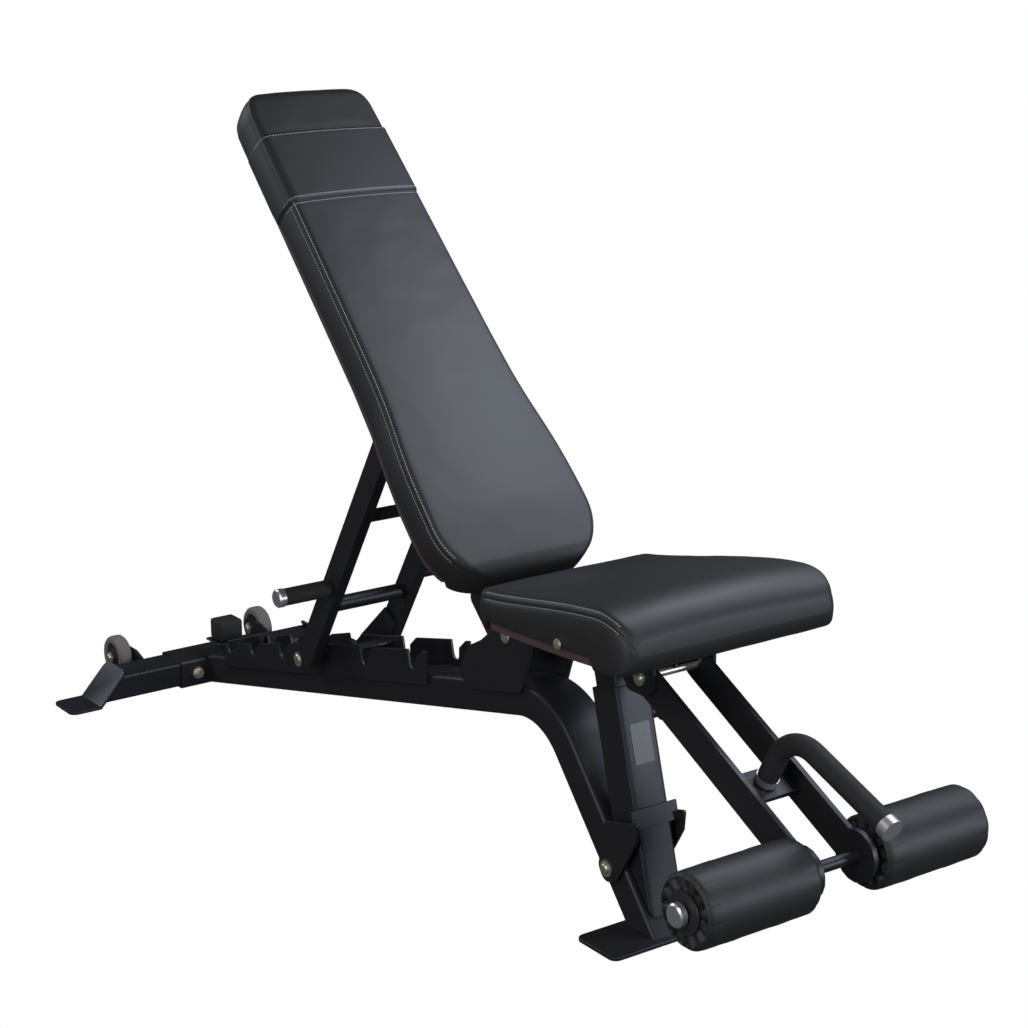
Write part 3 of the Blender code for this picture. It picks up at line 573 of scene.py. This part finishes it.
def stitch_tree():
    """Geometry Nodes: a row of thread dashes along every edge of a guide mesh."""
    tree = bpy.data.node_groups.new("stitches", "GeometryNodeTree")
    face = tree.interface
    face.new_socket("Geometry", in_out="INPUT", socket_type="NodeSocketGeometry")
    pitch = face.new_socket("Pitch", in_out="INPUT", socket_type="NodeSocketFloat")
    pitch.default_value = 0.0048
    cloth = face.new_socket("Thread", in_out="INPUT", socket_type="NodeSocketMaterial")
    face.new_socket("Geometry", in_out="OUTPUT", socket_type="NodeSocketGeometry")
    tree["pitch"] = pitch.identifier
    tree["thread"] = cloth.identifier

    def add(kind, **inputs):
        node = tree.nodes.new(kind)
        for name, value in inputs.items():
            target = node.inputs[name.replace("_", " ")]
            if isinstance(value, bpy.types.NodeSocket):
                tree.links.new(value, target)
            else:
                target.default_value = value
        return node

    start = tree.nodes.new("NodeGroupInput")
    end = tree.nodes.new("NodeGroupOutput")
    curve = add("GeometryNodeMeshToCurve", Mesh=start.outputs["Geometry"])
    even = tree.nodes.new("GeometryNodeResampleCurve")
    even.mode = "LENGTH"
    tree.links.new(curve.outputs[0], even.inputs["Curve"])
    tree.links.new(start.outputs["Pitch"], even.inputs["Length"])
    tangent = tree.nodes.new("GeometryNodeInputTangent")
    aim = tree.nodes.new("FunctionNodeAlignRotationToVector")
    aim.axis = "Z"
    tree.links.new(tangent.outputs[0], aim.inputs["Vector"])
    dash = add("GeometryNodeMeshIcoSphere", Radius=1.0, Subdivisions=2)
    place = add("GeometryNodeInstanceOnPoints", Points=even.outputs[0], Instance=dash.outputs[0],
                Rotation=aim.outputs[0], Scale=(0.0006, 0.0006, 0.0019))
    real = add("GeometryNodeRealizeInstances", Geometry=place.outputs[0])
    paint = add("GeometryNodeSetMaterial", Geometry=real.outputs[0],
                Material=start.outputs["Thread"])
    tree.links.new(paint.outputs[0], end.inputs[0])
    return tree


def stitches(name, lines, body):
    """Rows of stitching along lists of points, as one piece."""
    mesh = bpy.data.meshes.new(name)
    points, edges = [], []
    for line in lines:
        start = len(points)
        points += [tuple(p) for p in line]
        edges += [(start + i, start + i + 1) for i in range(len(line) - 1)]
    mesh.from_pydata(points, edges, [])
    obj = bpy.data.objects.new(name, mesh)
    bpy.context.scene.collection.objects.link(obj)
    tree = bpy.data.node_groups.get("stitches") or stitch_tree()
    rows = obj.modifiers.new("stitches", "NODES")
    rows.node_group = tree
    rows[tree["pitch"]] = settings().stitch
    rows[tree["thread"]] = mat("thread")
    bpy.context.view_layer.update()
    apply_modifiers(obj)
    obj.data.shade_smooth()
    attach(obj, body)
    return obj


def seam_lines(shape, places, to_world, offsets):
    """Lines along the seam between face and side, offset down the wall or in over the edge."""
    lines = []
    for sign in (-1, 1):
        for off in offsets:
            line = []
            for s in places:
                ring = shape(s)
                half = max(p[0] for p in ring)
                wall = [p for p in ring if p[0] > half - 0.012]
                level = max(p[1] for p in wall) - 0.0085 + off
                for a, b in zip(wall, wall[1:]):
                    if min(a[1], b[1]) <= level <= max(a[1], b[1]) and a[1] != b[1]:
                        k = (level - a[1]) / (b[1] - a[1])
                        y = a[0] + k * (b[0] - a[0])
                        line.append(to_world(s, sign * (y + 0.0002), level))
                        break
            lines.append(line)
    return lines


# ---------------------------------------------------------------- operators
class Piece:
    """What every bench operator shares."""

    bl_options = {"REGISTER", "UNDO"}

    def execute(self, context):
        self.build()
        return {"FINISHED"}


class BENCH_OT_materials(Piece, bpy.types.Operator):
    """Makes the bench's materials"""

    bl_idname = "bench.materials"
    bl_label = "Materials"

    def build(self):
        make_materials()


class BENCH_OT_base(Piece, bpy.types.Operator):
    """Builds the rail, stabiliser, ladder and bumper"""

    bl_idname = "bench.base"
    bl_label = "Base frame"

    def build(self):
        rail()
        refine("front_foot_plate", "powder_coat", "powder_coat", 0.0016)
        for node in ("rear_foot_left", "rear_foot_right"):
            refine(node, "powder_coat", "powder_coat", 0.0012, corner=0.014)
        crossbar()
        for node in ("bumper_post", "ladder_bridge",
                     "ladder_rear_plate", "ladder_plate_left", "ladder_plate_right",
                     "pivot_cheek_left", "pivot_cheek_right", "wheel_bracket_left",
                     "wheel_bracket_right"):
            refine(node, "powder_coat", "powder_coat")
        refine("bumper_block", "foam_grip", "grip_rubber", 0.0)
        for node in ("sleeve_bolt_left", "sleeve_bolt_right"):
            refine(node, "zinc", "zinc", 0.0006)
        round_node("main_axle", "zinc", "zinc")
        round_node("seat_pivot_bolt", "zinc", "zinc")
        bolt_node("post_bolt", 0.006, 0.0060)


def rail():
    """The bent rectangular tube, with the corners a rolled tube has."""
    slope, fall = RAIL_SLOPE, LEG_FALL
    along = Vector((math.cos(slope), 0, math.sin(slope)))
    down = Vector((math.cos(fall), 0, math.sin(fall)))
    up = Vector((-along.z, 0, along.x))
    out = Vector((-down.z, 0, down.x))
    radius = 0.092
    centre = RAIL_CORNER - along * radius * math.tan((slope - fall) / 2) - up * radius
    mid = radius + 0.0255
    path = [centre + up * mid - along * 1.10]
    for k in range(17):
        path.append(centre + up.slerp(out, k / 16) * mid)
    path.append(centre + out * mid + down * 0.45)
    low, high = corners("main_rail")
    cuts = ((Vector((low.x, 0, 0)), Vector((-1, 0, 0))), (Vector((0, 0, low.z)), Vector((0, 0, -1))))
    obj = sweep("main_rail_finish", path, round_rect(0.076, 0.051, 0.0065), "powder_coat",
                planes=cuts)
    settle(obj, "frame", "powder_coat", "main_rail")


def crossbar():
    """The stabiliser's tube, its ends cut back under the sloping feet, and the sleeve on it."""
    low, high = corners("rear_crossbar")
    middle = (low + high) / 2
    across = Vector((1, 0, 0))
    cuts = [(Vector((0, side * 0.252, 0)), Vector((0, side * 0.737, 0.676))) for side in (-1, 1)]
    path = [Vector((middle.x, y, middle.z)) for y in (-0.24, 0.24)]
    obj = sweep("rear_crossbar_finish", path, round_rect(0.070, 0.044, 0.006), "powder_coat",
                across, cuts)
    settle(obj, "frame", "powder_coat", "rear_crossbar")
    low, high = corners("crossbar_sleeve")
    path = [Vector((middle.x, y, middle.z)) for y in (low.y, high.y)]
    obj = sweep("crossbar_sleeve_finish", path, round_rect(0.078, 0.052, 0.0075), "powder_coat",
                across)
    settle(obj, "frame", "powder_coat", "crossbar_sleeve")


class BENCH_OT_wheels(Piece, bpy.types.Operator):
    """Builds the transport wheels and their axles"""

    bl_idname = "bench.wheels"
    bl_label = "Wheels"

    def build(self):
        for side in ("left", "right"):
            node = "rear_wheel_" + side
            low, high = corners(node)
            r = (high.z - low.z) / 2
            a, b = low.y, high.y
            profile = [(a + 0.003, 0.0066), (a, 0.011), (a + 0.0005, 0.012), (a + 0.004, 0.0135),
                       (a + 0.004, 0.0245), (a + 0.001, 0.026), (a, 0.030), (a + 0.0010, 0.0345),
                       (a + 0.0040, r - 0.0008), (a + 0.007, r)]
            profile += [(a + b - y, radius) for y, radius in reversed(profile)]
            profile.append(profile[0])
            obj = lathe(node + "_finish", WHEEL, profile, ["tyre", "hub"], 72)
            for face in obj.data.polygons:
                c = face.center
                if math.hypot(c.x - WHEEL.x, c.z - WHEEL.z) < 0.0252:
                    face.material_index = 1
            settle(obj, BODY_OF[node], "tyre", node)
            bolt_node("wheel_axle_" + side, 0.006, 0.0060)


class BENCH_OT_back(Piece, bpy.types.Operator):
    """Upholsters the back rest and builds its spine"""

    bl_idname = "bench.back"
    bl_label = "Back rest"

    def build(self):
        places = stations(*BACK_S, BACK_END, 120)
        pad = loft("back_pad_finish", places, back_shape, back_world, "vinyl")
        settle(pad, "back", "vinyl", "back_pad")
        self.band()
        rows = [s for s in places if BACK_S[0] + 0.04 < s < BAND_S[0] - 0.002]
        lines = seam_lines(back_shape, rows, back_world, (-0.0042, 0.0052))
        stitches("back_stitches", lines, "back")
        cross = []
        for s in (BAND_S[0] + 0.0055, BAND_S[1] - 0.0055, BAND_S[0] - 0.0055):
            grow = 0.0 if s < BAND_S[0] else 0.0024
            ring = back_shape(s, grow=grow + 0.0002, open_below=True)
            cross.append([back_world(s, y, n) for y, n in ring[8:-8]])
        stitches("band_stitches", cross, "back")
        refine("back_board", "board", "board", 0.0015)
        refine("back_spine", "powder_coat", "powder_coat", 0.0013)
        round_node("strut_top_pin", "zinc", "zinc")

    def band(self):
        """The second layer of vinyl round the head: a U that grips the pad's face and sides."""
        low, high = BAND_S
        places = [low + (high - low) * k / 40 for k in range(41)]

        def shape(s):
            near = min(s - low, high - s)
            lift = 0.0024 * math.sqrt(min(1.0, near / 0.0025 + 0.05))
            outer = back_shape(s, grow=lift, open_below=True)[3:-3]
            inner = back_shape(s, grow=-0.0015, open_below=True)[3:-3]
            return outer + inner[::-1]

        band = loft("headrest_band_finish", places, shape, back_world, "vinyl", 0.0)
        settle(band, "back", "vinyl", "headrest_band")


class BENCH_OT_strut(Piece, bpy.types.Operator):
    """Builds the back rest's strut, its grips and ladder pins"""

    bl_idname = "bench.strut"
    bl_label = "Strut"

    def build(self):
        for side in ("left", "right"):
            refine("strut_bar_" + side, "powder_coat", "powder_coat", 0.0009)
            bolt_node("ladder_pin_" + side, 0.008, 0.0040, (side == "right", side == "left"))
            round_node("strut_grip_" + side, "foam_grip", "grip_rubber", 0.0015)
            round_node("strut_grip_cap_" + side, "aluminium", "aluminium", 0.0022)
        refine("strut_crossbar", "powder_coat", "powder_coat")
        round_node("strut_cross_tube", "powder_coat", "powder_coat", 0.0004)


class BENCH_OT_seat(Piece, bpy.types.Operator):
    """Upholsters the seat and builds its frame"""

    bl_idname = "bench.seat"
    bl_label = "Seat"

    def build(self):
        low, high = SEAT_U
        ends = [SEAT_REAR_ROUND * (1 - math.cos(math.pi / 2 * k / 10)) for k in range(11)]
        places = [low + 0.0002 + e for e in ends]
        places += [0.030 + (high - 0.100) * k / 60 for k in range(61)]
        places += [high - 0.0004 - 0.0696 * (1 - math.sin(math.pi / 2 * k / 22))
                   for k in range(1, 23)]
        pad = loft("seat_pad_finish", places, seat_shape, seat_world, "vinyl")
        settle(pad, "seat", "vinyl", "seat_pad")
        rows = [u for u in places if 0.035 < u < high - 0.020]
        lines = seam_lines(seat_shape, rows, seat_world, (-0.0042, 0.0052))
        stitches("seat_stitches", lines, "seat")
        refine("seat_board", "board", "board", 0.0015)
        refine("seat_frame", "powder_coat", "powder_coat")
        for sign in (-1, 1):
            tack = seat_world(0.238, sign * 0.1805, 0.020)
            dome = [(tack.y, 0.0078), (tack.y + sign * 0.0024, 0.0064),
                    (tack.y + sign * 0.0034, 0.0026), (tack.y + sign * 0.0038, 0)]
            obj = lathe("seat_tack_" + str(sign), tack, [(tack.y - sign * 0.001, 0)] + dome,
                        "zinc", 24)
            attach(obj, "seat")


class BENCH_OT_post(Piece, bpy.types.Operator):
    """Builds the seat post, its foot bracket, sliding tube and pop-pin"""

    bl_idname = "bench.post"
    bl_label = "Seat post"

    def build(self):
        up = Vector((-math.sin(POST_LEAN), 0, math.cos(POST_LEAN)))
        top = POST_TOP
        out = Vector((-math.sin(LEG_FALL), 0, math.cos(LEG_FALL)))
        foot = RAIL_CORNER + out * 0.055
        obj = sweep("seat_post_finish", [top - up * 0.40, top], round_rect(0.060, 0.060, 0.0065),
                    "powder_coat", planes=((foot, -out),))
        settle(obj, "post", "powder_coat", "seat_post")
        path = [top - up * 0.160, top + up * 0.044]
        obj = sweep("post_inner_tube_finish", path, round_rect(0.050, 0.050, 0.005),
                    "powder_coat")
        settle(obj, "inner_tube", "powder_coat", "post_inner_tube")
        refine("post_bracket", "powder_coat", "powder_coat", 0.0014, 3)
        round_node("pop_pin_barrel", "powder_coat", "powder_coat", 0.0012)
        low, high = corners("pop_pin")
        r = (high.x - low.x) / 2
        y = high.y
        profile = [(low.y, 0), (low.y, 0.0042), (low.y + 0.001, 0.005), (y - 0.012, 0.005),
                   (y - 0.0118, r - 0.003), (y - 0.0095, r - 0.0004), (y - 0.006, r),
                   (y - 0.0025, r - 0.0010), (y - 0.0006, r - 0.0040), (y, r - 0.0075), (y, 0)]

        def grip(radius, a, _y):
            return (radius - 0.0004 * (1 + math.cos(10 * a)) * (radius > 0.012), 0.0)

        knob = lathe("pop_pin_finish", (low + high) / 2, profile, "hub", 80, grip)
        settle(knob, "pop_pin", "knob_plastic", "pop_pin")
        self.label()

    def label(self):
        """A blank sticker on the front of the post, with no words on it."""
        down = Vector((math.sin(POST_LEAN), 0, -math.cos(POST_LEAN)))
        ahead = Vector((math.cos(POST_LEAN), 0, math.sin(POST_LEAN)))
        form = bmesh.new()
        for face in (0.0300, 0.0305):
            for a, b in round_rect(0.034, 0.058, 0.003):
                form.verts.new(POST_TOP + down * (0.083 + b) + ahead * face + Vector((0, a, 0)))
        form.verts.ensure_lookup_table()
        count = len(form.verts) // 2
        form.faces.new(form.verts[:count])
        form.faces.new(form.verts[count:])
        for k in range(count):
            j = (k + 1) % count
            form.faces.new([form.verts[i] for i in (k, j, count + j, count + k)])
        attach(finish_mesh("post_label", form, "label"), "post")


class BENCH_OT_hold_down(Piece, bpy.types.Operator):
    """Builds the leg hold-down's arms, hand grip and foam rollers"""

    bl_idname = "bench.hold_down"
    bl_label = "Leg hold-down"

    def build(self):
        for side in ("left", "right"):
            refine("leg_arm_" + side, "powder_coat", "powder_coat")
            round_node("roller_cap_" + side, "aluminium", "aluminium", 0.0022)
            self.roller(side)
        refine("arm_cross_plate", "powder_coat", "powder_coat")
        round_node("roller_axle", "powder_coat", "powder_coat")
        bolt_node("arm_bolt", 0.006, 0.0060)
        self.grip()

    def roller(self, side):
        """Foam under a vinyl sleeve that is gathered into pleats round each end."""
        node = "foam_roller_" + side
        low, high = corners(node)
        a, b, r = low.y, high.y, (high.z - low.z) / 2
        pleats = settings().pleats
        profile = [(a + 0.006, 0.0089), (a + 0.0045, 0.0130)]
        profile += [(a + 0.0042 - 0.0042 * smooth(0.013, 0.036, x), x)
                    for x in (0.017, 0.021, 0.025, 0.029, 0.033, 0.036)]
        profile += [(a, 0.039)]
        profile += [(a + 0.009 - 0.009 * math.cos(math.radians(t)), r - 0.009
                     + 0.009 * math.sin(math.radians(t))) for t in (8, 20, 35, 50, 65, 78, 90)]
        profile += [(a + (b - a) * k / 16, r + 0.0003 * math.sin(k * 1.7)) for k in range(2, 8)]
        profile += [(a + b - y, x) for y, x in reversed(profile)]
        profile.append(profile[0])
        middle = (a + b) / 2

        def gather(radius, angle, y):
            end = smooth((b - a) / 2 - 0.030, (b - a) / 2 - 0.004, abs(y - middle))
            ring = smooth(0.025, 0.033, radius)
            fold = abs(math.sin(angle * pleats / 2)) ** 0.7
            way = 1 if y > middle else -1
            if radius > r - 0.006:
                return radius - 0.0009 * end * (1 - fold), 0.0
            return radius, -way * 0.0085 * end * ring * (1 - fold)

        obj = lathe(node + "_finish", AXLE, profile, "vinyl", 192, gather)
        settle(obj, BODY_OF[node], "vinyl", node)
        for y, way in ((a, -1), (b, 1)):
            ring = lathe("roller_washer", AXLE, [(y - way * 0.002, 0.0092), (y + way * 0.0004, 0.0285),
                         (y + way * 0.0022, 0.0280), (y + way * 0.0026, 0.0092),
                         (y - way * 0.002, 0.0092)], "hub", 48)
            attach(ring, BODY_OF[node])

    def grip(self):
        """The bent hand grip: foam over steel tube, a ring at its foot and a cap at its end."""
        top = SHIFT + Vector((0.556, 0, 0.390))
        along = (AXLE - top).normalized()
        up = Vector((-along.z, 0, along.x))
        base = top + along * 0.2175 + up * 0.0042
        heading = math.radians(-21.5)
        ahead = Vector((math.cos(heading), 0, math.sin(heading)))
        corner = base + up * 0.096
        turn = math.atan2(up.z, up.x) - heading
        radius = 0.055
        reach = radius * math.tan(turn / 2)
        centre = corner - up * reach + Vector((up.z, 0, -up.x)) * radius
        first = corner - up * reach - centre
        bend = [centre + Matrix.Rotation(turn * k / 20, 3, "Y") @ first for k in range(21)]
        path = [base, base + up * 0.02] + bend + [corner + ahead * 0.186]
        ring = [(0.0147 * math.cos(math.tau * k / 32), 0.0147 * math.sin(math.tau * k / 32))
                for k in range(32)]
        obj = sweep("hand_grip_finish", path, ring, "foam_grip")
        settle(obj, "seat", "grip_rubber", "hand_grip")
        wide = [(a * 1.07, b * 1.07) for a, b in ring]
        foot = sweep("hand_grip_ring", [base + up * 0.0005, base + up * 0.010], wide, "aluminium")
        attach(foot, "seat")
        end = corner + ahead * 0.1863
        cap = [end + ahead * d for d in (0, 0.002, 0.0125, 0.014)]
        wide = [(a * 1.055, b * 1.055) for a, b in ring]
        obj = sweep("hand_grip_cap_finish", cap, wide, "aluminium")
        settle(obj, "seat", "aluminium", "hand_grip_cap")


class BENCH_OT_stage(Piece, bpy.types.Operator):
    """Sets the camera, the lights and a white surround"""

    bl_idname = "bench.stage"
    bl_label = "Stage"

    def build(self):
        scene = bpy.context.scene
        camera = bpy.data.objects.new("camera", bpy.data.cameras.new("camera"))
        scene.collection.objects.link(camera)
        camera.location = SHIFT + Vector((2.795, -1.8719, 1.4267))
        camera.rotation_euler = (math.radians(90 - 15.811), 0, math.radians(54.319))
        camera.data.lens = 79.69
        camera.data.sensor_width = 36
        camera.data.shift_x = 0.0008
        camera.data.shift_y = 0.0046
        scene.camera = camera
        world = bpy.data.worlds.new("studio")
        world.use_nodes = True
        scene.world = world
        tree = world.node_tree
        back = tree.nodes["Background"]
        back.inputs["Color"].default_value = (1, 1, 1, 1)
        rays = tree.nodes.new("ShaderNodeLightPath")
        level = tree.nodes.new("ShaderNodeMath")
        level.operation = "MULTIPLY_ADD"
        level.inputs[1].default_value = 0.94
        level.inputs[2].default_value = 0.06
        tree.links.new(rays.outputs["Is Camera Ray"], level.inputs[0])
        tree.links.new(level.outputs[0], back.inputs["Strength"])
        scene.view_settings.view_transform = "Standard"
        cool, warm = (0.80, 0.87, 1.0), (1.0, 0.92, 0.82)
        for name, place, size, power, tint in (
            ("key", (1.4, -2.8, 2.2), 1.0, 30, warm),
            ("fill", (3.4, -0.4, 1.2), 1.0, 26, cool),
            ("top", (0.35, 0.75, 1.70), 0.40, 12, cool),
            ("rear", (-2.8, -1.6, 1.8), 1.4, 30, cool),
            ("glow", (0.9, 1.9, 2.1), 0.50, 17, cool),
            ("low", (1.3, -2.4, 0.5), 0.9, 12, cool),
            ("front", (2.9, 1.9, 0.75), 0.6, 34, cool),
        ):
            light = bpy.data.objects.new(name, bpy.data.lights.new(name, "AREA"))
            light.data.size = size
            light.data.energy = power
            light.data.color = tint
            light.location = place
            aim = Vector((0, 0, 0.4)) - light.location
            light.rotation_euler = aim.to_track_quat("-Z", "Y").to_euler()
            scene.collection.objects.link(light)


class BENCH_PT_panel(bpy.types.Panel):
    """The bench's settings and steps"""

    bl_label = "Weight bench"
    bl_idname = "BENCH_PT_panel"
    bl_space_type = "VIEW_3D"
    bl_region_type = "UI"
    bl_category = "Bench"

    def draw(self, context):
        for name in ("crown", "stitch", "pleats", "edge", "grain"):
            self.layout.prop(context.scene.bench, name)
        for step in STEPS:
            self.layout.operator(step.bl_idname)


STEPS = (BENCH_OT_materials, BENCH_OT_base, BENCH_OT_wheels, BENCH_OT_back, BENCH_OT_strut,
         BENCH_OT_seat, BENCH_OT_post, BENCH_OT_hold_down, BENCH_OT_stage)


def register():
    bpy.utils.register_class(BenchSettings)
    bpy.types.Scene.bench = bpy.props.PointerProperty(type=BenchSettings)
    for step in STEPS:
        bpy.utils.register_class(step)
    bpy.utils.register_class(BENCH_PT_panel)


def unregister():
    bpy.utils.unregister_class(BENCH_PT_panel)
    for step in reversed(STEPS):
        bpy.utils.unregister_class(step)
    del bpy.types.Scene.bench
    bpy.utils.unregister_class(BenchSettings)


def main():
    register()
    for step in STEPS:
        group, name = step.bl_idname.split(".")
        getattr(getattr(bpy.ops, group), name)()


if __name__ == "__main__":
    main()
